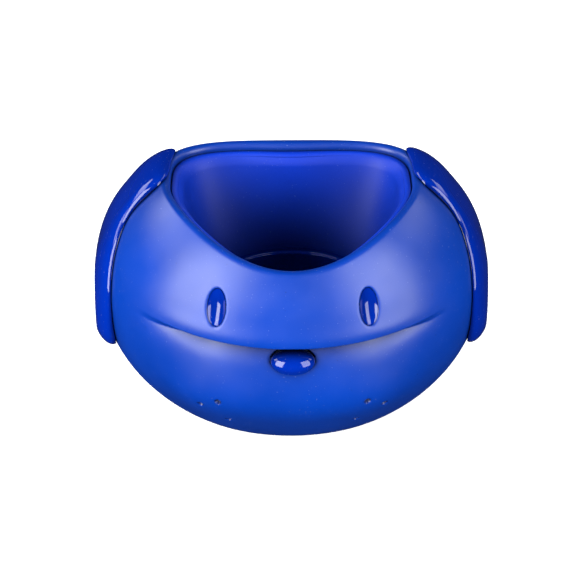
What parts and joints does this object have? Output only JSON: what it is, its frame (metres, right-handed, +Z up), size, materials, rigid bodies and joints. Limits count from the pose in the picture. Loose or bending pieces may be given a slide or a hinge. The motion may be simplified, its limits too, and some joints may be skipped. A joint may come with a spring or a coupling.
{
  "type": "child's potty",
  "caption": "Child's potty shaped as a puppy's head: matte blue shell, glossy floppy ears, inset eyes and nose, and a glossy bowl that lifts straight out.",
  "frame": {"origin": "on the floor, under the middle of the object's overall box", "axes": "+X to the puppy's left side as the viewer's right, -Y the way the face looks, +Z up"},
  "size_m": [0.295, 0.1954, 0.201],
  "materials": {
    "shell": "fine matte moulded texture, satin sheen",
    "bowl": "smooth gloss",
    "ears": "polished gloss",
    "face_inserts": "polished gloss",
    "base": "fine matte moulded texture",
    "screws": "zinc plated",
    "pads": "soft matte"
  },
  "bodies": {
    "head": {"head_shell": "shell", "left_ear": "ears", "right_ear": "ears", "left_ear_screw_1": "screws", "left_ear_screw_2": "screws", "right_ear_screw_1": "screws", "right_ear_screw_2": "screws", "left_eye": "face_inserts", "right_eye": "face_inserts", "nose": "face_inserts", "base_plate": "base", "base_screw_1": "screws", "base_screw_2": "screws", "base_screw_3": "screws", "base_screw_4": "screws", "foot_pad_1": "pads", "foot_pad_2": "pads", "foot_pad_3": "pads", "foot_pad_4": "pads"},
    "bowl": {"inner_bowl": "bowl"}
  },
  "joints": [
    {"name": "bowl_lift", "type": "slide", "parent": "head", "child": "bowl", "axis": [0, 0, 1], "range_m": [0, 0.16]}
  ]
}
